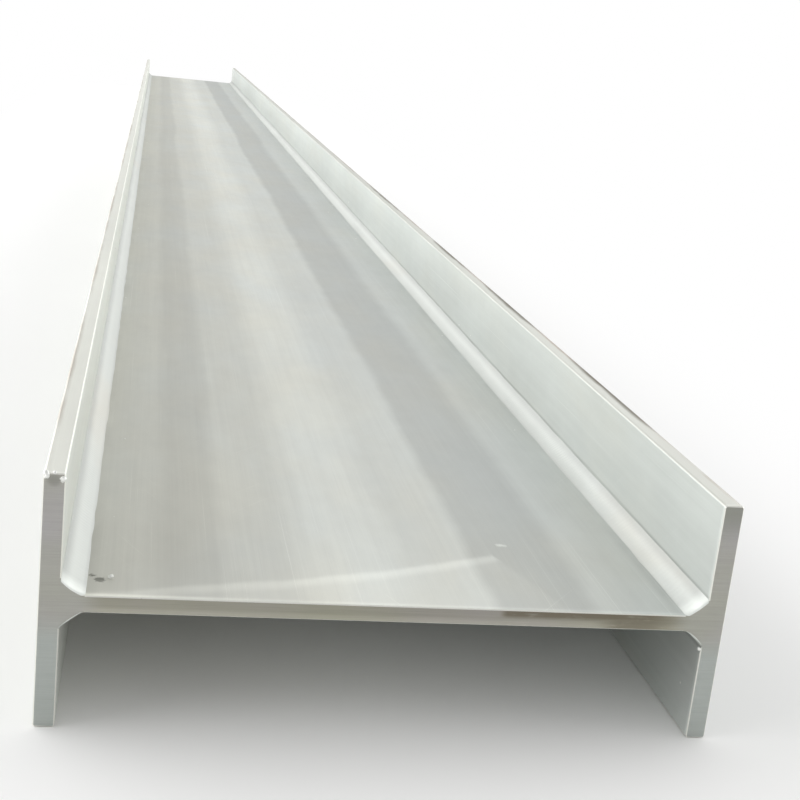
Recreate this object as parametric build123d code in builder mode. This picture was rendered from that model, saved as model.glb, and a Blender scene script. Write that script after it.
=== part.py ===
"""Stainless steel I-beam, welded up from three plates and lying with its web level.

X runs across the depth of the section, Y along the beam and Z up, in millimetres. The
origin is on the floor, under the middle of the beam.
"""

import os

from build123d import *

# Overall section and length
BEAM_LENGTH = 6000.0
SECTION_DEPTH = 400.0
FLANGE_WIDTH = 150.0
FLANGE_THICKNESS = 12.0
WEB_THICKNESS = 10.0

# Edges: the flanges' long edges are rounded, and the free edges of the cut ends have no burr
FLANGE_EDGE_RADIUS = 1.5
CUT_END_CHAMFER = 0.6

# Fillet welds: the web leg is longer than the flange leg, and the face is slightly hollow
WELD_LEG_ON_WEB = 13.0
WELD_LEG_ON_FLANGE = 10.0
WELD_FACE_HOLLOW = 0.8
WELD_END_RADIUS = 2.5

# Places that follow from the sizes
FLANGE_INNER_FACE = SECTION_DEPTH / 2 - FLANGE_THICKNESS
WEB_LEVEL = FLANGE_WIDTH / 2

# Sides of the section, with the sign of X, and faces of the web, with the sign of Z
SIDES = {"left": -1, "right": 1}
WEB_FACES = {"lower": -1, "upper": 1}


def make_web_plate():
    """The level plate, which fills the space between the two flanges.

    Its ends are freed of burr between the welds, and are cut flush with the welds beside them.
    """
    free_half = FLANGE_INNER_FACE - WELD_LEG_ON_WEB
    welded_middle = FLANGE_INNER_FACE - WELD_LEG_ON_WEB / 2
    with BuildPart() as web:
        with BuildSketch(Plane.XZ):
            with Locations((0, WEB_LEVEL)):
                Rectangle(2 * free_half, WEB_THICKNESS)
        extrude(amount=BEAM_LENGTH / 2, both=True)
        cut_end_edges = web.edges().filter_by(Axis.X)
        chamfer(cut_end_edges, length=CUT_END_CHAMFER)
        with BuildSketch(Plane.XZ):
            with Locations((-welded_middle, WEB_LEVEL), (welded_middle, WEB_LEVEL)):
                Rectangle(WELD_LEG_ON_WEB, WEB_THICKNESS)
        extrude(amount=BEAM_LENGTH / 2, both=True)
    return web


def make_flange_plate(side):
    """One upright plate, which stands on its lower edge and carries the web half way up.

    Its ends are freed of burr all round, and are cut flush where the web and the welds join it.
    """
    middle = side * (FLANGE_INNER_FACE + FLANGE_THICKNESS / 2)
    inner_quarter = side * (FLANGE_INNER_FACE + FLANGE_THICKNESS / 4)
    joint_height = WEB_THICKNESS + 2 * WELD_LEG_ON_FLANGE
    with BuildPart() as flange:
        with BuildSketch(Plane.XZ):
            with Locations((middle, FLANGE_WIDTH / 2)):
                Rectangle(FLANGE_THICKNESS, FLANGE_WIDTH)
        extrude(amount=BEAM_LENGTH / 2, both=True)
        fillet(flange.edges().filter_by(Axis.Y), radius=FLANGE_EDGE_RADIUS)
        cut_ends = flange.faces().filter_by(Axis.Y)
        chamfer(cut_ends.edges(), length=CUT_END_CHAMFER)
        with BuildSketch(Plane.XZ):
            with Locations((inner_quarter, WEB_LEVEL)):
                Rectangle(FLANGE_THICKNESS / 2, joint_height)
        extrude(amount=BEAM_LENGTH / 2, both=True)
    return flange


def make_weld_bead(side, web_face):
    """One fillet weld in a corner of web and flange, with a hollow face and rounded ends."""
    root_x = side * FLANGE_INNER_FACE
    root_z = WEB_LEVEL + web_face * WEB_THICKNESS / 2
    root = (root_x, root_z)
    web_toe = (root_x - side * WELD_LEG_ON_WEB, root_z)
    flange_toe = (root_x, root_z + web_face * WELD_LEG_ON_FLANGE)
    with BuildPart() as bead:
        with BuildSketch(Plane.XZ):
            with BuildLine():
                Line(flange_toe, root)
                Line(root, web_toe)
                SagittaArc(web_toe, flange_toe, -side * web_face * WELD_FACE_HOLLOW)
            make_face()
        extrude(amount=BEAM_LENGTH / 2, both=True)
        face_ends = bead.faces().filter_by(Axis.Y).edges().filter_by(GeomType.CIRCLE)
        fillet(face_ends, radius=WELD_END_RADIUS)
    return bead


pieces = {"web_plate": make_web_plate()}
for side_name, side in SIDES.items():
    pieces[f"{side_name}_flange_plate"] = make_flange_plate(side)
    for face_name, web_face in WEB_FACES.items():
        pieces[f"weld_bead_{face_name}_{side_name}"] = make_weld_bead(side, web_face)

os.makedirs("parts", exist_ok=True)
for name, piece in pieces.items():
    piece.part.label = name
    export_step(piece.part, f"parts/{name}.step")
    print(name, round(piece.part.volume), "cubic mm")
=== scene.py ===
# %% [markdown]
# # A welded stainless steel I-beam
#
# This lesson dresses a beam that was welded up from three plates. The plates and the welds are
# already built as solids, so the work here is all looks: where the camera stands, how the metal
# catches the light, and the small things that a welder and a saw leave behind. Everything is in
# metres, with X across the section, Y along the beam and Z up.

# %% Load the beam
import itertools
import math

import bpy
import numpy as np
from mathutils import Matrix, Vector


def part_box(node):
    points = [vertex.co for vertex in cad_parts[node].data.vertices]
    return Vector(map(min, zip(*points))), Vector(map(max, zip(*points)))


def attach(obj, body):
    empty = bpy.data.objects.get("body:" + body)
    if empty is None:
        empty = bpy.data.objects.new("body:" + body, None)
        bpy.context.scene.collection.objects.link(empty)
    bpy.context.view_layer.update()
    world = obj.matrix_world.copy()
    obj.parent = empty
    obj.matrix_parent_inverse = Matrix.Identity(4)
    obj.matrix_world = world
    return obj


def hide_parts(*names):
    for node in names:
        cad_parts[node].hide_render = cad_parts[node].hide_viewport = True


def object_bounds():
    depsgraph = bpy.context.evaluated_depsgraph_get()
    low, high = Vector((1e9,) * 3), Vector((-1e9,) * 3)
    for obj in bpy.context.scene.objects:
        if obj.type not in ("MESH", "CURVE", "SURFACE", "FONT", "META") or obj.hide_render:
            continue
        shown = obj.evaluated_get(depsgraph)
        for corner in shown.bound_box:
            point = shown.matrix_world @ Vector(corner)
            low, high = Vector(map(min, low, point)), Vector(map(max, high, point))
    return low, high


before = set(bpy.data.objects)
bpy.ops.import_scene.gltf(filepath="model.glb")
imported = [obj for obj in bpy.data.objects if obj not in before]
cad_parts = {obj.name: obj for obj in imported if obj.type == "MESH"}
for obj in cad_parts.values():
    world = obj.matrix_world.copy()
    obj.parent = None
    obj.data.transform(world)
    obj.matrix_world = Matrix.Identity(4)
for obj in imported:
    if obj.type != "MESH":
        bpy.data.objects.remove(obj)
cad_low, cad_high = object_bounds()
print("solids:", sorted(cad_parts), "box:", tuple(cad_low), tuple(cad_high))

# %% [markdown]
# The finishes need a few lengths of the beam: where its faces are, and where the welds stop. They
# are read from the boxes of the solids and not typed in, so they follow the model if it changes.

# %% Read the beam's own lengths
END_Y = cad_high.y
HALF_DEPTH = cad_high.x
TOP_Z = cad_high.z
web_low, web_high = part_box("web_plate")
FLANGE_INNER_X = web_high.x
FLANGE_THICKNESS = HALF_DEPTH - FLANGE_INNER_X
WEB_TOP_Z = web_high.z
WEB_BOTTOM_Z = web_low.z
WEB_MIDDLE_Z = (WEB_TOP_Z + WEB_BOTTOM_Z) / 2
bead_low, bead_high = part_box("weld_bead_upper_right")
WELD_TOE_X = bead_low.x
WELD_TOE_RISE = bead_high.z - WEB_MIDDLE_Z
print("web top", WEB_TOP_Z, "weld toe on web", WELD_TOE_X, "toe above web middle", WELD_TOE_RISE)

# %% [markdown]
# ## The camera
#
# The picture is taken from close to the near end of the beam and a little above it. The close
# stand is what makes the far end so small. A camera in Blender is placed by a matrix: a turn
# about Z points it along the beam, a turn about X tips it down, and a last turn about its own
# line of sight rolls it.

# %% Place the camera
SENSOR_WIDTH_MM = 36.0
LENS_MM = 63.4
STAND_BEFORE_END = 0.735
STAND_ABOVE_TOP = 0.247
STAND_LEFT_OF_MIDDLE = 0.153
TURN_RIGHT = math.radians(10.9)
TIP_DOWN = math.radians(14.6)
ROLL = math.radians(6.25)
VIEW_REACH = 200.0

camera_data = bpy.data.cameras.new("camera")
camera_data.lens = LENS_MM
camera_data.sensor_width = SENSOR_WIDTH_MM
camera_data.dof.use_dof = False
camera_data.clip_end = VIEW_REACH
camera = bpy.data.objects.new("camera", camera_data)
bpy.context.scene.collection.objects.link(camera)
stand = Vector((-STAND_LEFT_OF_MIDDLE, -END_Y - STAND_BEFORE_END, TOP_Z + STAND_ABOVE_TOP))
aim = Matrix.Rotation(-TURN_RIGHT, 4, "Z") @ Matrix.Rotation(math.pi / 2 - TIP_DOWN, 4, "X")
camera.matrix_world = Matrix.Translation(stand) @ aim @ Matrix.Rotation(ROLL, 4, "Z")
bpy.context.scene.camera = camera
bpy.context.scene.view_settings.view_transform = "Standard"
print("camera at", tuple(round(v, 3) for v in stand))

# %% [markdown]
# ## Node trees as arithmetic
#
# A finish is a network of nodes, and most of those nodes only add, multiply and compare numbers.
# Wired by hand that takes pages, so two small classes do it: a Sheet holds one node tree and adds
# a node of any kind, and a Wire is one output on that sheet. Adding two wires, or a wire and a
# number, adds a Math node, so a mask reads like the sum that it is.

# %% Wires
class Wire:
    """One output socket, which Python's operators can work on."""

    def __init__(self, sheet, socket):
        self.sheet = sheet
        self.socket = socket

    def maths(self, operation, *others):
        return self.sheet.maths(operation, self, *others)

    def __add__(self, other):
        return self.maths("ADD", other)

    def __sub__(self, other):
        return self.maths("SUBTRACT", other)

    def __rsub__(self, other):
        return self.sheet.maths("SUBTRACT", other, self)

    def __mul__(self, other):
        return self.maths("MULTIPLY", other)

    def __abs__(self):
        return self.maths("ABSOLUTE")

    __radd__ = __add__
    __rmul__ = __mul__

    def larger(self, other):
        return self.maths("MAXIMUM", other)

    def smaller(self, other):
        return self.maths("MINIMUM", other)

    def root(self):
        return self.maths("SQRT")

    def ramp(self, start, full):
        """0 at start and 1 at full, with a smooth step between; start may be the larger."""
        inputs = {"Value": self, "From Min": start, "From Max": full}
        settings = {"interpolation_type": "SMOOTHSTEP"}
        return self.sheet.add("ShaderNodeMapRange", settings, inputs)


# %% Sheets
class Sheet:
    """One node tree, and the one method that adds a node to it."""

    def __init__(self, tree):
        self.tree = tree
        self.tree.nodes.clear()

    def add(self, kind, settings=None, inputs=None, output=0):
        node = self.tree.nodes.new(kind)
        for name, value in (settings or {}).items():
            setattr(node, name, value)
        for key, value in (inputs or {}).items():
            if isinstance(value, Wire):
                self.tree.links.new(value.socket, node.inputs[key])
            else:
                node.inputs[key].default_value = value
        return Wire(self, node.outputs[output]) if node.outputs else None

    def maths(self, operation, *values):
        return self.add("ShaderNodeMath", {"operation": operation}, dict(enumerate(values)))

    def split(self, vector):
        """The X, Y and Z of a vector, as three wires."""
        node = self.add("ShaderNodeSeparateXYZ", None, {0: vector}).socket.node
        return [Wire(self, socket) for socket in node.outputs]

    def mix(self, share, first, second, blend="MIX"):
        """A colour between two colours."""
        settings = {"data_type": "RGBA", "blend_type": blend}
        return self.add("ShaderNodeMix", settings, {0: share, 6: first, 7: second}, output=2)

    def lit(self, colour, brightness):
        """A colour multiplied by a number that changes over the surface."""
        same = {0: brightness, 1: brightness, 2: brightness}
        return self.mix(1.0, colour, self.add("ShaderNodeCombineColor", None, same), "MULTIPLY")

    def noise(self, vector, scale, detail=2.0, roughness=0.5):
        """Soft noise about 0; scale is how many lumps there are to a metre in X, Y and Z."""
        settings = {"operation": "MULTIPLY"}
        stretched = self.add("ShaderNodeVectorMath", settings, {0: vector, 1: scale})
        inputs = {"Vector": stretched, "Scale": 1.0, "Detail": detail, "Roughness": roughness}
        return self.add("ShaderNodeTexNoise", None, inputs) - 0.5

    def turned(self, vector, axis, degrees):
        """A vector turned about one of the three axes."""
        settings = {"rotation_type": axis + "_AXIS"}
        inputs = {"Vector": vector, "Angle": math.radians(degrees)}
        return self.add("ShaderNodeVectorRotate", settings, inputs)

    def bump(self, height, depth):
        """A normal tilted by the slopes of a height, which is depth metres for each 1."""
        return self.add("ShaderNodeBump", None, {"Height": height, "Distance": depth})

    def principled(self, **inputs):
        """The metal shader, wired to the sheet's output."""
        names = {name.replace("_", " "): value for name, value in inputs.items()}
        shader = self.add("ShaderNodeBsdfPrincipled", None, names)
        self.add("ShaderNodeOutputMaterial", None, {"Surface": shader})


def new_material(name):
    material = bpy.data.materials.new(name)
    material.use_nodes = True
    return material, Sheet(material.node_tree)


def linear(value):
    """One channel of a screen colour, from 0 to 255, as linear light from 0 to 1."""
    share = value / 255
    return share / 12.92 if share <= 0.04045 else ((share + 0.055) / 1.055) ** 2.4


def shade(red, green, blue):
    """A colour as a picture editor gives it, turned into linear light, with full alpha."""
    return (linear(red), linear(green), linear(blue), 1.0)


def blend(start, layers, weights):
    """A start value plus each named layer times its weight."""
    total = start
    for name, weight in weights.items():
        total = total + layers[name] * weight
    return total


print("helpers ready; a mid grey of 128 is", round(shade(128, 128, 128)[0], 3), "in linear light")

# %% [markdown]
# ## The studio
#
# Bright metal shows what stands round it, so the surroundings are half of its look. Such stock
# lies in open sheds, where daylight comes in low from all sides under a darker roof. The studio
# does the same: the sky is white at the horizon and greyer overhead, and two wide soft lamps
# stand to the left and the right. The floor is pale, takes the beam's shadow, and turns to plain
# white further off, but only for what the camera and the metal's reflections see, so that it
# adds no light of its own.

# %% Build the floor
FLOOR_RADIUS = 60.0
FLOOR_CORNERS = 64
FLOOR_GAP = 0.0004
FLOOR_FADE_START = 0.0
FLOOR_FADE_END = 0.45
FLOOR_COLOUR = shade(248, 248, 247)
PLAIN_WHITE = 1.0

bpy.ops.mesh.primitive_circle_add(
    vertices=FLOOR_CORNERS, radius=FLOOR_RADIUS, fill_type="NGON", location=(0, 0, -FLOOR_GAP)
)
floor = bpy.context.object
floor.name = "floor"
floor_material, sheet = new_material("pale_floor")
floor.data.materials.append(floor_material)
x, y, z = sheet.split(sheet.add("ShaderNodeTexCoord", None, None, "Object"))
beside = (abs(x) - HALF_DEPTH).larger(0)
beyond = (abs(y) - END_Y).larger(0)
fade = (beside * beside + beyond * beyond).root().ramp(FLOOR_FADE_START, FLOOR_FADE_END)
seen = 0
for ray in ("Is Camera Ray", "Is Glossy Ray", "Is Transmission Ray"):
    seen = sheet.add("ShaderNodeLightPath", None, None, ray).larger(seen)
pale = sheet.add("ShaderNodeBsdfDiffuse", None, {"Color": FLOOR_COLOUR})
white = sheet.add("ShaderNodeEmission", None, {"Strength": PLAIN_WHITE})
ground = sheet.add("ShaderNodeMixShader", None, {0: fade * seen, 1: pale, 2: white})
sheet.add("ShaderNodeOutputMaterial", None, {"Surface": ground})
print("floor", floor.name, "is plain white from", FLOOR_FADE_END, "m off the beam")

# %% Light the studio
SKY_AT_HORIZON = 1.0
SKY_OVERHEAD = 0.55
SKY_CHANGE = (0.15, 0.85)
LAMP_SIZE = (3.6, 10.0)
LAMP_AIM = Vector((0.0, -1.0, 0.1))
LAMPS = {
    "left_lamp": (Vector((-3.0, -0.3, 1.7)), 184.0),
    "right_lamp": (Vector((3.2, 0.1, 1.7)), 118.0),
}

world = bpy.data.worlds.new("studio")
bpy.context.scene.world = world
world.use_nodes = True
sheet = Sheet(world.node_tree)
_, _, up = sheet.split(sheet.add("ShaderNodeTexCoord", None, None, "Generated"))
sky = SKY_AT_HORIZON + (SKY_OVERHEAD - SKY_AT_HORIZON) * up.ramp(*SKY_CHANGE)
glow = sheet.add("ShaderNodeBackground", None, {"Color": (1, 1, 1, 1), "Strength": sky})
sheet.add("ShaderNodeOutputWorld", None, {"Surface": glow})

for lamp_name, (lamp_place, watts) in LAMPS.items():
    lamp_data = bpy.data.lights.new(lamp_name, "AREA")
    lamp_data.shape = "RECTANGLE"
    lamp_data.size_y, lamp_data.size = LAMP_SIZE
    lamp_data.energy = watts
    lamp = bpy.data.objects.new(lamp_name, lamp_data)
    bpy.context.scene.collection.objects.link(lamp)
    lamp.location = lamp_place
    lamp.rotation_euler = (LAMP_AIM - lamp_place).to_track_quat("-Z", "Y").to_euler()
    lamp.visible_camera = False
    print(lamp_name, "of", watts, "watts")

# %% [markdown]
# ## The skin of the plates
#
# Stainless plate leaves the mill annealed and pickled in acid: dull silver, cloudy, with faint
# streaks along the rolling direction and no mirror shine. One function mixes that skin for both
# the web and the flanges. It could be one flat grey with a noise on top, but then it would look
# like plastic, so each layer has its own size: clouds of a hand's width, streaks that run along
# the beam, fine scratches from being slid about, crossing scuffs, and a grain of half a
# millimetre. Each layer is written as its lumps to a metre in X, Y and Z, and then the detail
# and the roughness of its noise. The weights say how much each layer changes the skin.

# %% Layers of the pickled skin
STEEL_WARM = shade(203, 203, 194)
STEEL_COOL = shade(200, 204, 201)
STEEL_METAL = 0.65
STEEL_ROUGHNESS = 0.55
SKIN_LAYERS = {
    "clouds": ((9, 3.5, 9), 4, 0.55),
    "mottle": ((55, 26, 55), 3, 0.6),
    "streaks": ((150, 1.5, 150), 3, 0.6),
    "hairlines": ((1100, 7, 1100), 2, 0.6),
    "grain": ((1500, 1500, 1500), 2, 0.6),
}
SCRATCH_LINES = ((700, 2.2, 700), 1, 0.4)
SCRATCH_SHARE = (0.21, 0.27)
SCUFF_LINES = ((600, 9, 600), 2, 0.5)
SCUFF_SHARE = (0.16, 0.26)
SCUFF_PATCHES = ((7, 5, 7), 2, 0.5)
SCUFF_PATCH_SHARE = (0.02, 0.15)
SCUFF_DEGREES = (38, -24)
TINT_LUMPS = ((14, 5, 14), 3, 0.5)
TINT_UNEVEN = 0.6
TINT_CHANGE = (-0.25, 0.25)

# %% Mix the pickled skin
SKIN_BRIGHTNESS = {
    "clouds": 0.22,
    "mottle": 0.10,
    "streaks": 0.14,
    "hairlines": 0.08,
    "grain": 0.08,
    "scratches": 0.06,
    "scuffs": 0.05,
}
SKIN_ROUGHNESS = {"clouds": 0.16, "streaks": 0.10, "grain": 0.10, "scratches": -0.10, "scuffs": -0.08}
SKIN_RELIEF = {"grain": 0.6, "hairlines": 0.5, "scratches": -0.5, "scuffs": -0.4}


def pickled_skin(sheet, place, scuff_axis):
    """The brightness, colour, roughness and relief that every plate shares."""
    layers = {name: sheet.noise(place, *layer) for name, layer in SKIN_LAYERS.items()}
    layers["scratches"] = sheet.noise(place, *SCRATCH_LINES).ramp(*SCRATCH_SHARE)
    scuffs = 0
    for degrees in SCUFF_DEGREES:
        crossing = sheet.turned(place, scuff_axis, degrees)
        scuffs = scuffs + sheet.noise(crossing, *SCUFF_LINES).ramp(*SCUFF_SHARE)
    layers["scuffs"] = scuffs * sheet.noise(place, *SCUFF_PATCHES).ramp(*SCUFF_PATCH_SHARE)
    across = sheet.split(place)[0]
    tint = (sheet.noise(place, *TINT_LUMPS) * TINT_UNEVEN + across).ramp(*TINT_CHANGE)
    brightness = blend(1, layers, SKIN_BRIGHTNESS)
    colour = sheet.mix(tint, STEEL_WARM, STEEL_COOL)
    roughness = blend(STEEL_ROUGHNESS, layers, SKIN_ROUGHNESS)
    relief = blend(0, layers, SKIN_RELIEF)
    return brightness, colour, roughness, relief


# %% [markdown]
# The ends were cut square with a saw after welding, so plates and welds share one flat face
# there. A saw leaves fine, nearly level lines, in a grey with hues that shift slowly from olive to
# lilac. That grey is darker than the pickled skin: partly the saw's duller finish, and partly
# painted shade, as the ends face away from the light. The sharp rim of the cut is worn bright,
# and its colour also carries a painted highlight of the bevel.

# %% Layers of a sawn end
# Darker than the skin: partly the saw's finish, partly painted shade.
SAWN_OLIVE = shade(167, 167, 158)
SAWN_LILAC = shade(171, 168, 170)
SAWN_COOL = shade(172, 177, 173)
# Colour of the bevelled rim: wear, and a painted highlight.
EDGE_BRIGHT = shade(232, 232, 225)
SAW_LAYERS = {"lines": ((25, 1, 1900), 3, 0.6), "coarse": ((8, 1, 420), 2, 0.5)}
SAW_BRIGHTNESS = {"lines": 0.30, "coarse": 0.18}
SAW_HUES = ((9, 1, 17), 2, 0.5)
SAW_HUE_CHANGE = (-0.16, 0.16)
COOL_DEPTH = 0.02


def sawn_end(sheet, place):
    """The colour and the relief of a face that the saw left; below the web it is cooler."""
    layers = {name: sheet.noise(place, *layer) for name, layer in SAW_LAYERS.items()}
    hue = sheet.noise(place, *SAW_HUES).ramp(*SAW_HUE_CHANGE)
    below = sheet.split(place)[2].ramp(WEB_BOTTOM_Z, WEB_BOTTOM_Z - COOL_DEPTH)
    colour = sheet.mix(below, sheet.mix(hue, SAWN_OLIVE, SAWN_LILAC), SAWN_COOL)
    return sheet.lit(colour, blend(1, layers, SAW_BRIGHTNESS)), layers["lines"]


# %% Masks of a sawn end
END_SKIN = (0.0020, 0.0008)
END_FACING = (0.90, 0.97)
RIM_FACING = (0.25, 0.45)


def end_masks(sheet, y):
    """Which way a surface faces, where it is a sawn end, and where the bevelled rim of one."""
    facing = sheet.split(sheet.add("ShaderNodeNewGeometry", None, None, "True Normal"))
    at_end = (END_Y - abs(y)).ramp(*END_SKIN)
    sawn = abs(facing[1]).ramp(*END_FACING) * at_end
    rim = abs(facing[1]).ramp(*RIM_FACING) * (1 - sawn) * at_end
    return facing, sawn, rim


print("skin and saw layers ready")

# %% [markdown]
# ## The web plate
#
# The web lies level, so its upper face shows the most. Its broad darker and lighter bands along
# its length are a painted reflection of its surroundings. Beside the welds runs a thin dark line:
# soot, and the painted shade of an undercut. Near the cut end a hand or a rag has wiped a pale
# sickle, and there are a bright nick and a smudge of soot with a droplet beside it. The strip along
# the cut end is partly worn and partly a painted highlight. The masks below are sums of ramps
# over X, Y and Z, because the marks have to stay in place from any side.

# %% Marks on the web
WIPE_START = (-0.150, 0.0085)
WIPE_BEND = (0.003, 0.052)
WIPE_PEAK = (0.076, 0.088)
WIPE_FINISH = (0.100, 0.018)
WIPE_EDGE = (-0.008, 0.014)
WIPE_RIM_EDGE = (-0.004, 0.003)
WIPE_RIM_WIDTH = (0.016, 0.004)
WIPE_BRIGHT = 0.05
WIPE_RIM_BRIGHT = 0.13


def near_spot(x, y, centre, across, along):
    """1 at a point of the web and 0 outside an ellipse round it."""
    u = (x - centre[0]) * (1 / across)
    v = (y - centre[1]) * (1 / along)
    return (u * u + v * v).ramp(1.0, 0.0)


def straight(x, start, finish):
    """The height, at x, of the straight line through two points."""
    return start[1] + (x - start[0]) * ((finish[1] - start[1]) / (finish[0] - start[0]))


def wiped_sickle(x, from_near_end):
    """The pale wiped patch, brighter along its upper rim, where the wiping hand stopped."""
    rise = straight(x, WIPE_START, WIPE_BEND).larger(straight(x, WIPE_BEND, WIPE_PEAK))
    below_rim = rise.smaller(straight(x, WIPE_PEAK, WIPE_FINISH)) - from_near_end
    rim = below_rim.ramp(*WIPE_RIM_EDGE) * (rise - from_near_end).ramp(*WIPE_RIM_WIDTH)
    return below_rim.ramp(*WIPE_EDGE) * WIPE_BRIGHT + rim * WIPE_RIM_BRIGHT


# %% Painted reflection bands along the web
# Painted reflection: each level stands in for what the web reflects along its length.
BAND_EDGES = (-0.135, -0.097, -0.045, 0.010, 0.062, 0.124)
BAND_LEVELS = (1.01, 0.88, 0.98, 1.13, 1.00, 0.81, 0.99)
BAND_BLURS = (0.009, 0.006, 0.018, 0.018, 0.006, 0.009)
BAND_BENDS = ((0, 1.1, 0), 2, 0.5)
BAND_BEND_REACH = 0.022
BAND_FRAY = 0.010


def web_bands(sheet, place, x, uneven):
    """The darker and lighter bands of the web, a painted reflection, as a factor of its brightness.
    """
    drift = x + sheet.noise(place, *BAND_BENDS) * BAND_BEND_REACH + uneven * BAND_FRAY
    level = BAND_LEVELS[0]
    for edge, blur, before, after in zip(BAND_EDGES, BAND_BLURS, BAND_LEVELS, BAND_LEVELS[1:]):
        level = level + drift.ramp(edge - blur, edge + blur) * (after - before)
    return level


# %% Cut end of the web
WEB_END_TINT = (0.93, 0.915, 0.83, 1.0)
WEB_END_TWO_TONE = 0.24
FREE_OF_WELD = (-0.006, 0.012)
NEAR_HALF = (0.1, -0.1)
STAIN_LEFT = (0.060, 0.066)
STAIN_RIGHT = (0.178, 0.150)
STAIN_DEEP = (0.115, 0.138)
STAIN_DEEP_SHARE = 0.8
STAIN_SPECKS = ((70, 1, 300), 3, 0.6)
STAIN_SPECK_SHARE = (-0.32, 0.0)
STAIN_STRENGTH = 0.85
STAIN_BROWN = shade(112, 104, 88)


def web_end(sheet, place, x, y, z):
    """The sawn end of the web, lighter in its lower half, with a brown stain on the right."""
    cut, cut_lines = sawn_end(sheet, place)
    free = (WELD_TOE_X - abs(x)).ramp(*FREE_OF_WELD)
    two_tone = z.ramp(WEB_MIDDLE_Z, WEB_BOTTOM_Z + 0.001) * WEB_END_TWO_TONE - WEB_END_TWO_TONE / 2
    cut = sheet.mix(free, sheet.lit(cut, 1 + two_tone * free), WEB_END_TINT, "MULTIPLY")
    speckle = sheet.noise(place, *STAIN_SPECKS).ramp(*STAIN_SPECK_SHARE)
    upper_half = z.ramp(WEB_MIDDLE_Z - 0.001, WEB_TOP_Z - 0.003)
    height = upper_half.larger(x.ramp(*STAIN_DEEP) * STAIN_DEEP_SHARE)
    stain = x.ramp(*STAIN_LEFT) * x.ramp(*STAIN_RIGHT) * y.ramp(*NEAR_HALF)
    return sheet.mix(stain * height * speckle * STAIN_STRENGTH, cut, STAIN_BROWN), cut_lines


# %% Finish of the web plate
UPPER_FACING = (0.4, 0.6)
UNEVEN_LUMPS = ((20, 14, 20), 3, 0.6)
TOE_FRAY = 0.002
TOE_SOOT_WIDTH = (0.0085, 0.0025)
NEAR_END = (0.22, 0.03)
WIPE_FRAY = 0.012
RUB_WIDTH = (0.0060, 0.0015)
RUB_MORE_LEFT = (-0.07, -0.14)
RAGGED_ACROSS = ((420, 420, 420), 3, 0.6)
RAGGED_ALONG = ((520, 520, 520), 3, 0.6)
RAGGED_REACH = 0.007
NICK_PLACE = (0.086, -2.895)
NICK_SIZE = (0.0050, 0.0034)
SOOT_SPOTS = (((-0.1675, -2.9760), 0.0042), ((-0.1725, -2.9700), 0.0026))
SOOT_GREY = shade(106, 107, 99)
SOOT_STRENGTH = 0.75
SKIN_DEPTH = 0.00008


def web_finish():
    material, sheet = new_material("pickled_web")
    place = sheet.add("ShaderNodeTexCoord", None, None, "Object")
    x, y, z = sheet.split(place)
    facing, sawn, rim = end_masks(sheet, y)
    upper = facing[2].ramp(*UPPER_FACING)
    brightness, colour, roughness, relief = pickled_skin(sheet, place, "Z")
    uneven = sheet.noise(place, *UNEVEN_LUMPS)
    from_toe = WELD_TOE_X - abs(x) + uneven * TOE_FRAY
    near_end = (END_Y - abs(y)).ramp(*NEAR_END)
    # Soot, and painted shade of an undercut, in a thin line along the weld toe.
    toe_line = from_toe.ramp(*TOE_SOOT_WIDTH) * (0.03 + near_end * 0.07 + uneven * 0.3)
    wipe = wiped_sickle(x, y + END_Y + uneven * WIPE_FRAY) * upper
    # A strip along the cut end: partly wear, partly a painted highlight of the edge.
    rubbed = (END_Y - abs(y)).ramp(*RUB_WIDTH) * (0.13 + x.ramp(*RUB_MORE_LEFT) * 0.24)
    ragged_x = x + sheet.noise(place, *RAGGED_ACROSS) * RAGGED_REACH
    ragged_y = y + sheet.noise(place, *RAGGED_ALONG) * RAGGED_REACH
    nick = near_spot(ragged_x, ragged_y, NICK_PLACE, *NICK_SIZE) * upper
    soot = 0
    for spot_place, spot_radius in SOOT_SPOTS:
        soot = near_spot(ragged_x, ragged_y, spot_place, spot_radius, spot_radius) * upper + soot
    # The bands are a painted reflection in the base colour.
    brightness = brightness * web_bands(sheet, place, x, uneven) * (1 - toe_line)
    brightness = brightness + wipe + rubbed + nick * 0.3
    skin = sheet.mix(soot.smaller(1) * SOOT_STRENGTH, sheet.lit(colour, brightness), SOOT_GREY)
    cut, cut_lines = web_end(sheet, place, x, y, z)
    sheet.principled(
        Base_Color=sheet.mix(rim, sheet.mix(sawn, skin, cut), EDGE_BRIGHT),
        Metallic=STEEL_METAL,
        Roughness=roughness - rim * 0.12 - wipe * 0.4 + soot * 0.2,
        Normal=sheet.bump(relief * (1 - sawn) + cut_lines * sawn, SKIN_DEPTH),
    )
    return material


# %% Dress the web
def dress(node, material):
    """Give a solid one material in place of the one that it came with."""
    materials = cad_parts[node].data.materials
    materials.clear()
    materials.append(material)


dress("web_plate", web_finish())
print("web finish on web_plate")

# %% [markdown]
# ## The flange plates
#
# The flanges have the same skin, standing upright. Their free edges are paler, because the beam
# slides over bearers and rollers on them, and the outer corner has picked up some brown dirt. The
# inner faces get painted light, more towards their tips, and the left flange's inner face and top
# edge get more painted light still, standing in for light from the right. The right flange has
# patches of dark grime along its outer top edge. The outer faces carry level drag marks from
# handling, and on the inner faces a dark line of soot and painted shade runs along the welds.
# The strip along each cut end is partly worn and partly a painted highlight.

# %% Grime and cut ends of the flanges
GRIME_PATCHES = ((-2.74, 0.13), (-2.42, 0.15), (-2.12, 0.14), (-1.60, 0.22))
GRIME_WIDTH = 0.0065
GRIME_FRAY = 0.006
END_BURNT = shade(140, 142, 132)
BURNT_STRENGTH = 0.8
SCORCH_PLACE = (-0.1940, 0.1462)
SCORCH_SIZE = (0.0050, 0.0040)
SCORCH_FRAY = 0.004
SCORCH_STRENGTH = 0.25


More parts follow.
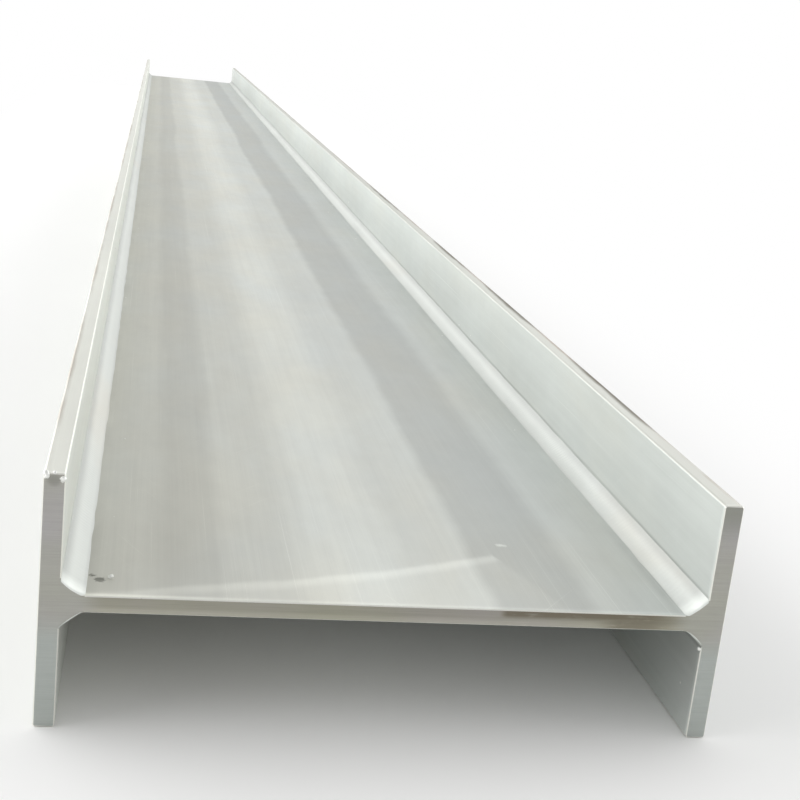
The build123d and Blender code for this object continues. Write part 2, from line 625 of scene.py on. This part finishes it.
def edge_grime(x, y, z, uneven):
    """Dark grime in patches along the outer top edge of the right flange."""
    grime = 0
    for patch_y, half_length in GRIME_PATCHES:
        patch_place = (patch_y, HALF_DEPTH)
        grime = near_spot(y, x + uneven * GRIME_FRAY, patch_place, half_length, GRIME_WIDTH) + grime
    return grime.smaller(1) * z.ramp(TOP_Z - 0.006, TOP_Z - 0.002)


def flange_end(sheet, place, x, y, z, left, uneven):
    """The sawn end of a flange, darker at the top of the right one, scorched on the left one."""
    cut, cut_lines = sawn_end(sheet, place)
    ragged_z = z + uneven * SCORCH_FRAY
    scorch = near_spot(x, ragged_z, SCORCH_PLACE, *SCORCH_SIZE) * y.ramp(*NEAR_HALF)
    burnt = z.ramp(TOP_Z - 0.028, TOP_Z - 0.004) * (1 - left)
    cut = sheet.mix(burnt * BURNT_STRENGTH, cut, END_BURNT)
    return sheet.lit(cut, 1 - scorch * SCORCH_STRENGTH), cut_lines


# %% Finish of the flange plates
EDGE_PALE = shade(195, 196, 189)
EDGE_DIRT = shade(142, 122, 102)
EDGE_ROUND = 0.0015
EDGE_FACING = (0.2, 0.7)
DIRT_LUMPS = ((30, 5, 30), 4, 0.6)
DIRT_SHARE = (-0.14, 0.14)
DIRT_FRAY = 0.003
DIRT_REACH = (HALF_DEPTH - 3 * EDGE_ROUND, HALF_DEPTH - 0.7 * EDGE_ROUND)
GRIME_DARK = shade(94, 85, 70)
GRIME_STRENGTH = 0.8
INNER_SKIN = (FLANGE_THICKNESS - 0.0012, FLANGE_THICKNESS - 0.0004)
TOE_LINE_WIDTH = (0.0030, 0.0008)
PALE_RISE = (0.018, 0.070)
PALE_FRAY = 0.02
DRAG_BROAD = ((0, 0.7, 26), 3, 0.6)
DRAG_FINE = ((0, 3, 160), 2, 0.6)


def flange_finish():
    material, sheet = new_material("pickled_flange")
    place = sheet.add("ShaderNodeTexCoord", None, None, "Object")
    x, y, z = sheet.split(place)
    facing, sawn, rim = end_masks(sheet, y)
    brightness, colour, roughness, relief = pickled_skin(sheet, place, "X")
    rise = abs(z - WEB_MIDDLE_Z)
    inner = (HALF_DEPTH - abs(x)).ramp(*INNER_SKIN)
    uneven = sheet.noise(place, *UNEVEN_LUMPS)
    from_toe = rise - WELD_TOE_RISE + uneven * TOE_FRAY
    # Soot and painted shade in a thin line along the weld toe on the inner faces.
    toe_line = from_toe.ramp(*TOE_LINE_WIDTH) * (0.26 + uneven * 0.5) * inner
    paler = (rise + uneven * PALE_FRAY).ramp(*PALE_RISE)
    left = x.ramp(0.01, -0.01)
    # A strip along each cut end: partly wear, partly a painted highlight of the edge.
    rubbed = (END_Y - abs(y)).ramp(0.004, 0.001)
    edge = abs(facing[2]).ramp(*EDGE_FACING)
    # Painted light: the inner faces are lighter, most towards their tips.
    brightness = brightness * (1 - toe_line) + inner * (paler * 0.10 + 0.03) + rubbed * 0.15
    # Painted light from the right on the left flange's inner face and top edge.
    brightness = brightness + left * (inner * (0.28 - paler * 0.10) + edge * 0.32)
    drag = sheet.noise(place, *DRAG_BROAD) * 0.5 + sheet.noise(place, *DRAG_FINE) * 0.2
    brightness = brightness + (1 - inner) * (1 - edge) * (drag - 0.08)
    colour = sheet.mix(left * 0.5, colour, STEEL_COOL)
    outer = (abs(x) + uneven * DIRT_FRAY).ramp(*DIRT_REACH)
    dirt = outer * edge * sheet.noise(place, *DIRT_LUMPS).ramp(*DIRT_SHARE) * (0.85 - left * 0.35)
    edge_skin = sheet.mix(dirt, sheet.lit(EDGE_PALE, brightness), EDGE_DIRT)
    skin = sheet.mix(edge, sheet.lit(colour, brightness), edge_skin)
    grime = edge_grime(x, y, z, uneven)
    skin = sheet.mix(grime * GRIME_STRENGTH, skin, GRIME_DARK)
    cut, cut_lines = flange_end(sheet, place, x, y, z, left, uneven)
    sheet.principled(
        Base_Color=sheet.mix(rim, sheet.mix(sawn, skin, cut), EDGE_BRIGHT),
        Metallic=(1 - grime) * STEEL_METAL,
        Roughness=roughness - rim * 0.12 - edge * 0.06 + grime * 0.3,
        Normal=sheet.bump(relief * (1 - sawn) + cut_lines * sawn, SKIN_DEPTH),
    )
    return material


flange_steel = flange_finish()
for side_name in ("left", "right"):
    dress(f"{side_name}_flange_plate", flange_steel)
print("flange finish on both flanges")

# %% [markdown]
# ## The welds
#
# A weld bead is metal that froze in a moving pool. It wets both plates, so its face is slightly
# hollow, carries shallow crescents, and has toes that wander by a fraction of a millimetre. A
# bump map could draw the crescents, but the toes and the round ends need real shape. So each bead
# is a mesh of a few points across and thousands of rings along, worked out with arrays. A wander
# is written as a share of the length and the spacing at which it changes.

# %% Lengths that wander along a bead
END_RADIUS = 0.0025
END_RINGS = 6
RING_STEP = 0.0009


def bead_stations(low_y, high_y):
    """Where the rings stand along the beam: even steps, and closer ones round each end."""
    round_end = END_RADIUS * (1 - np.cos(np.linspace(0, math.pi / 2, END_RINGS)))
    middle = np.arange(low_y + END_RADIUS + RING_STEP, high_y - END_RADIUS, RING_STEP)
    return np.concatenate([low_y + round_end, middle, (high_y - round_end)[::-1]])


def wander(stations, spacing, rng):
    """A smooth random line between -1 and 1, with a new value every spacing metres."""
    along = (stations - stations[0]) / spacing
    knots = rng.uniform(-1, 1, int(along[-1]) + 3)
    cell = along.astype(int)
    share = along - cell
    share = share * share * (3 - 2 * share)
    return knots[cell] * (1 - share) + knots[cell + 1] * share


def wandering(length, wanders, stations, rng):
    """A length at every station, changed by each share and spacing in turn."""
    factor = 1
    for share, spacing in wanders:
        factor = factor + share * wander(stations, spacing, rng)
    return length * factor


# %% Points of a weld bead
ACROSS = 7
HOLLOW = 0.0008
HOLLOW_WANDER = ((0.25, 0.08),)
WEB_TOE_WANDER = ((0.03, 0.022), (0.03, 0.17))
FLANGE_TOE_WANDER = ((0.03, 0.025), (0.04, 0.2))
RIPPLE_PITCH = 0.0046
RIPPLE_PITCH_WANDER = ((0.12, 0.03),)
RIPPLE_HEIGHT = 0.0002
RIPPLE_STEADY = 0.7
RIPPLE_FADE = 0.3
RIPPLE_FADE_SPACING = 0.05
RIPPLE_LAG = 0.0035


def bead_points(node, side, web_face, rng):
    """Rings of points: the root first, then the face from the web toe to the flange toe."""
    low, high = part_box(node)
    root_x = high.x if side > 0 else low.x
    root_z = low.z if web_face > 0 else high.z
    web_leg = high.x - low.x
    flange_leg = high.z - low.z
    stations = bead_stations(low.y, high.y)
    web_reach = wandering(web_leg, WEB_TOE_WANDER, stations, rng)[:, None]
    flange_reach = wandering(flange_leg, FLANGE_TOE_WANDER, stations, rng)[:, None]
    to_end = np.minimum(stations - low.y, high.y - stations).clip(0, END_RADIUS)
    inset = END_RADIUS - np.sqrt(END_RADIUS**2 - (END_RADIUS - to_end) ** 2)
    shrink = (1 - inset / flange_leg)[:, None]
    t = np.linspace(0, 1, ACROSS)
    bulge = 4 * t * (1 - t)
    pitch = wandering(RIPPLE_PITCH, RIPPLE_PITCH_WANDER, stations, rng)
    lag = RIPPLE_LAG / RIPPLE_PITCH * (2 * t - 1) ** 2
    phase = np.cumsum(np.gradient(stations) / pitch)[:, None] + lag
    strength = RIPPLE_STEADY + RIPPLE_FADE * wander(stations, RIPPLE_FADE_SPACING, rng)
    ripple = RIPPLE_HEIGHT * np.sin(2 * math.pi * phase) * strength[:, None]
    rise = (ripple - wandering(HOLLOW, HOLLOW_WANDER, stations, rng)[:, None]) * bulge
    slant = math.hypot(web_leg, flange_leg)
    from_root = web_reach * (1 - t) + rise * flange_leg / slant
    above_root = flange_reach * t + rise * web_leg / slant
    points = np.empty((len(stations), ACROSS + 1, 3))
    points[:, :, 1] = stations[:, None]
    points[:, 0, 0] = root_x
    points[:, 0, 2] = root_z
    points[:, 1:, 0] = root_x - side * from_root * shrink
    points[:, 1:, 2] = root_z + web_face * above_root * shrink
    return points


# %% Mesh of a weld bead
SHARP_ANGLE = math.radians(50)


def mesh_from_arrays(name, points, face_groups):
    """A mesh from points and arrays of faces, one array for each count of corners."""
    corners = np.concatenate([faces.reshape(-1) for faces in face_groups])
    counts = np.concatenate([np.full(len(faces), faces.shape[1]) for faces in face_groups])
    starts = np.concatenate([[0], np.cumsum(counts)[:-1]])
    mesh = bpy.data.meshes.new(name)
    mesh.vertices.add(len(points))
    mesh.vertices.foreach_set("co", points.reshape(-1))
    mesh.loops.add(len(corners))
    mesh.loops.foreach_set("vertex_index", corners.astype(np.int32))
    mesh.polygons.add(len(starts))
    mesh.polygons.foreach_set("loop_start", starts.astype(np.int32))
    mesh.update(calc_edges=True)
    mesh.validate()
    mesh.shade_smooth()
    mesh.set_sharp_from_angle(angle=SHARP_ANGLE)
    return mesh


def tube_faces(rings, around, flip):
    """The faces of a closed tube of rings, with a fan over each end."""
    ring = np.arange(rings - 1)[:, None] * around
    here = np.arange(around)[None, :]
    after = (here + 1) % around
    sides = np.stack([ring + here, ring + after, ring + around + after, ring + around + here], -1)
    sides = sides.reshape(-1, 4)
    first = np.arange(1, around - 1)
    near = np.stack([np.zeros_like(first), first + 1, first], -1)
    far = near[:, ::-1] + (rings - 1) * around
    caps = np.concatenate([near, far])
    return [sides[:, ::-1], caps[:, ::-1]] if flip else [sides, caps]


def place_piece(mesh, material):
    """Put a new mesh on the beam, with its material, under the root body."""
    mesh.materials.append(material)
    piece = bpy.data.objects.new(mesh.name, mesh)
    bpy.context.scene.collection.objects.link(piece)
    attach(piece, "root")
    print(piece.name, len(mesh.polygons), "faces")
    return piece


# %% [markdown]
# Weld metal is a cast skin, so it is smoother and brighter than rolled plate, with a breath of
# straw colour where the heat lingered. Its colour carries painted shade along its toes and a
# painted highlight at its tips.
# Fine lines between the crescents are too small for the mesh and come from a bump. The sawn ends
# are the same grey as the plates beside them.

# %% Finish of the weld metal
WELD_SILVER = shade(205, 208, 204)
WELD_STRAW = shade(207, 204, 194)
STRAW_LUMPS = ((15, 4, 15), 3, 0.5)
STRAW_SHARE = (0.05, 0.3)
STRAW_STRENGTH = 0.6
WELD_METAL_ROUGHNESS = 0.52
WELD_LAYERS = {
    "clouds": ((30, 7, 30), 3, 0.55),
    "grain": ((1800, 1800, 1800), 2, 0.5),
    "rings": ((60, 700, 60), 2, 0.5),
}
# Painted shade along the toes and a painted highlight at the tips are layers of brightness.
WELD_BRIGHTNESS = {
    "clouds": 0.20,
    "grain": 0.06,
    "rings": 0.07,
    "web_toe": -0.10,
    "flange_toe": -0.24,
    "tip_highlight": 0.30,
}
WELD_ROUGHNESS = {"clouds": 0.14, "grain": 0.06}
WELD_RELIEF = {"rings": 0.7, "grain": 0.3}
WEB_TOE_WIDTH = (0.0022, 0.0002)
FLANGE_TOE_WIDTH = (0.0055, 0.0008)
TIP_LENGTH = (0.018, 0.003)
WELD_SKIN_DEPTH = 0.00006


def weld_finish():
    material, sheet = new_material("weld_metal")
    place = sheet.add("ShaderNodeTexCoord", None, None, "Object")
    x, y, z = sheet.split(place)
    _, sawn, _ = end_masks(sheet, y)
    layers = {name: sheet.noise(place, *layer) for name, layer in WELD_LAYERS.items()}
    # Painted shade along both toes, and a painted highlight towards each end.
    layers["web_toe"] = (abs(x) - WELD_TOE_X).ramp(*WEB_TOE_WIDTH)
    layers["flange_toe"] = (WELD_TOE_RISE - abs(z - WEB_MIDDLE_Z)).ramp(*FLANGE_TOE_WIDTH)
    layers["tip_highlight"] = (END_Y - abs(y)).ramp(*TIP_LENGTH)
    straw = sheet.noise(place, *STRAW_LUMPS).ramp(*STRAW_SHARE) * STRAW_STRENGTH
    skin = sheet.lit(sheet.mix(straw, WELD_SILVER, WELD_STRAW), blend(1, layers, WELD_BRIGHTNESS))
    relief = blend(0, layers, WELD_RELIEF)
    cut, cut_lines = sawn_end(sheet, place)
    sheet.principled(
        Base_Color=sheet.mix(sawn, skin, cut),
        Metallic=STEEL_METAL,
        Roughness=blend(WELD_METAL_ROUGHNESS, layers, WELD_ROUGHNESS),
        Normal=sheet.bump(relief * (1 - sawn) + cut_lines * sawn, WELD_SKIN_DEPTH),
    )
    return material


weld_steel = weld_finish()
print("weld finish ready")

# %% Finish of frozen drops
DROP_SILVER = shade(236, 237, 233)
DROP_GRAIN = ((900, 900, 900), 2, 0.5)


def drop_finish():
    material, sheet = new_material("frozen_drops")
    place = sheet.add("ShaderNodeTexCoord", None, None, "Object")
    grain = sheet.noise(place, *DROP_GRAIN)
    sheet.principled(
        Base_Color=sheet.lit(DROP_SILVER, 1 + grain * 0.12),
        Metallic=STEEL_METAL,
        Roughness=0.42 + grain * 0.10,
    )
    return material


drop_steel = drop_finish()
print("drop finish ready")

# %% Lay the four beads
SIDES = {"left": -1, "right": 1}
WEB_FACES = {"lower": -1, "upper": 1}
SEED = 7

rng = np.random.default_rng(SEED)
for (side_name, side), (face_name, web_face) in itertools.product(SIDES.items(), WEB_FACES.items()):
    node = f"weld_bead_{face_name}_{side_name}"
    points = bead_points(node, side, web_face, rng)
    faces = tube_faces(len(points), ACROSS + 1, flip=side * web_face < 0)
    bead_mesh = mesh_from_arrays(f"rippled_{node}", points.reshape(-1, 3), faces)
    bead = place_piece(bead_mesh, weld_steel)
    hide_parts(node)

# %% [markdown]
# ## Spatter and dross
#
# Welding throws small drops that freeze where they land, and the cut leaves a few bright lumps of
# dross on the corner of the left flange. Each is a squashed ball with a little unevenness, sunk
# into the plate. Many small things are cheapest as one joined mesh, so the balls are worked out
# together as one array.

# %% Balls of frozen metal
BALL_RINGS = 6
BALL_SIDES = 10


def unit_ball():
    """Points of a ball: a pole, rings and a pole, with its faces as two arrays."""
    tilt = np.linspace(0, math.pi, BALL_RINGS + 2)[1:-1]
    here = np.arange(BALL_SIDES)
    after = (here + 1) % BALL_SIDES
    turn = here * 2 * math.pi / BALL_SIDES
    across = np.outer(np.sin(tilt), np.cos(turn))
    along = np.outer(np.sin(tilt), np.sin(turn))
    up = np.outer(np.cos(tilt), np.ones(BALL_SIDES))
    body = np.stack([across, along, up], -1).reshape(-1, 3)
    points = np.concatenate([[[0, 0, 1]], body, [[0, 0, -1]]])
    last_ring = 1 + (BALL_RINGS - 1) * BALL_SIDES
    top = np.stack([np.zeros_like(here), 1 + here, 1 + after], -1)
    last_point = np.full_like(here, len(points) - 1)
    bottom = np.stack([last_point, last_ring + after, last_ring + here], -1)
    ring = 1 + np.arange(BALL_RINGS - 1)[:, None] * BALL_SIDES
    below = ring + BALL_SIDES
    sides = np.stack([ring + here, below + here, below + after, ring + after], -1)
    return points, sides.reshape(-1, 4), np.concatenate([top, bottom])


def joined_balls(name, centres, radii, rough, rng):
    """One mesh of many uneven balls; radii has three lengths for each centre."""
    unit, sides, fans = unit_ball()
    lobes = np.sin(unit[None] * 3 + rng.uniform(0, 2 * math.pi, (len(centres), 1, 3)))
    uneven = 1 + rough * lobes.sum(-1, keepdims=True)
    uneven = uneven + rng.uniform(-0.3, 0.3, uneven.shape) * rough
    points = centres[:, None, :] + unit[None] * uneven * radii[:, None, :]
    step = np.arange(len(centres))[:, None, None] * len(unit)
    faces = [(group[None] + step).reshape(-1, group.shape[1]) for group in (sides, fans)]
    return mesh_from_arrays(name, points.reshape(-1, 3), faces)


# %% Throw the spatter
SPATTER_ON_WEB = 22
SPATTER_ON_FLANGE = 10
SPATTER_RADIUS = (0.0004, 0.0011)
SPATTER_SQUASH = 0.5
SPATTER_RISE = 0.05
SPATTER_THROW = 0.014
SPATTER_LIMIT = 0.045
TOE_CLEAR = 0.0015
END_CLEAR = 0.01
SPATTER_ROUGH = 0.06


def thrown_drops(count, rng):
    """Places along the beam, radii, and distances from the weld's toe, of some drops."""
    along = rng.uniform(-END_Y + END_CLEAR, END_Y - END_CLEAR, count)
    radius = rng.uniform(*SPATTER_RADIUS, count)
    reach = TOE_CLEAR + rng.exponential(SPATTER_THROW, count).clip(0, SPATTER_LIMIT)
    return along, radius, reach


centres = []
radii = []
for side, web_face in itertools.product(SIDES.values(), WEB_FACES.values()):
    along, radius, reach = thrown_drops(SPATTER_ON_WEB, rng)
    level = WEB_MIDDLE_Z + web_face * (WEB_TOP_Z - WEB_MIDDLE_Z + radius * SPATTER_RISE)
    centres.append(np.stack([side * (WELD_TOE_X - reach), along, level], -1))
    radii.append(np.stack([radius, radius, radius * SPATTER_SQUASH], -1))
    along, radius, reach = thrown_drops(SPATTER_ON_FLANGE, rng)
    wall = side * (FLANGE_INNER_X - radius * SPATTER_RISE)
    centres.append(np.stack([wall, along, WEB_MIDDLE_Z + web_face * (WELD_TOE_RISE + reach)], -1))
    radii.append(np.stack([radius * SPATTER_SQUASH, radius, radius], -1))
centres = np.concatenate(centres)
radii = np.concatenate(radii)
spatter_mesh = joined_balls("weld_spatter", centres, radii, SPATTER_ROUGH, rng)
place_piece(spatter_mesh, drop_steel)

# %% [markdown]
# A lump of dross is not one ball: molten metal ran to the edge in several gulps and froze there.
# So each lump is a handful of balls pushed into each other, the largest in the middle. Three
# lumps sit on the near top edge of the left flange, one drop lies by the soot on the web, and one
# hangs at the end of the lower right weld.

# %% Leave the dross
BALLS_IN_LUMP = 7
BALL_SHARES = (1.0, 0.5)
BALL_SPREAD = 1.2
BALL_SQUASH = (0.7, 1.0)
DROSS_ROUGH = 0.08
LUMPS = (
    ((-0.1982, -2.9992, 0.1490), 0.0021),
    ((-0.1938, -2.9985, 0.1495), 0.0015),
    ((-0.1893, -2.9992, 0.1468), 0.0021),
    ((-0.1620, -2.9724, 0.0800), 0.0018),
    ((0.1868, -2.9998, 0.0590), 0.0013),
)

centres = []
radii = []
for lump_centre, lump_radius in LUMPS:
    shares = np.linspace(*BALL_SHARES, BALLS_IN_LUMP)[:, None]
    offsets = rng.uniform(-1, 1, (BALLS_IN_LUMP, 3)) * lump_radius * (BALL_SPREAD - shares)
    centres.append(np.array(lump_centre) + offsets)
    radii.append(lump_radius * shares * rng.uniform(*BALL_SQUASH, (BALLS_IN_LUMP, 3)))
centres = np.concatenate(centres)
radii = np.concatenate(radii)
dross_mesh = joined_balls("cutting_dross", centres, radii, DROSS_ROUGH, rng)
place_piece(dross_mesh, drop_steel)
